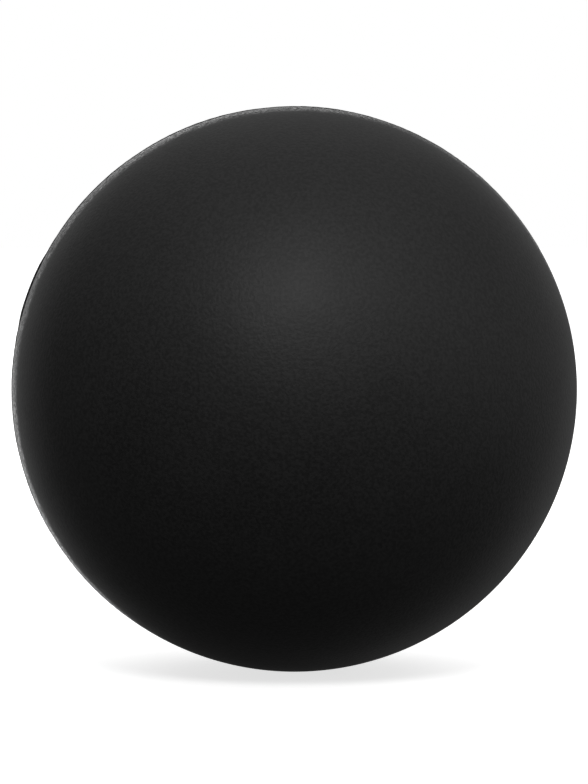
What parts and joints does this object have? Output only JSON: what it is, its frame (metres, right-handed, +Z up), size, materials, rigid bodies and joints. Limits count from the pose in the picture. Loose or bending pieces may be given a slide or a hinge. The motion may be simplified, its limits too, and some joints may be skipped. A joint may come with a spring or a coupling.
{
  "type": "lacrosse ball",
  "caption": "Solid black rubber lacrosse ball, 63.5 mm across, with a fine matt moulded skin and a trimmed ring of flash round the mould's parting line.",
  "frame": {"origin": "the ball's centre", "axes": "+Z up; -Y points out of the front half; the mould's parting plane is XZ, and the ring of flash lies on it"},
  "size_m": [0.0638, 0.0636, 0.0638],
  "materials": {
    "black_rubber": "matt, with the fine grain of a blasted mould",
    "flash_rubber": "trimmed edge, a little rougher than the moulded skin"
  },
  "bodies": {
    "root": {"front_half": "black_rubber", "rear_half": "black_rubber", "flash_ring": "flash_rubber"}
  },
  "joints": []
}
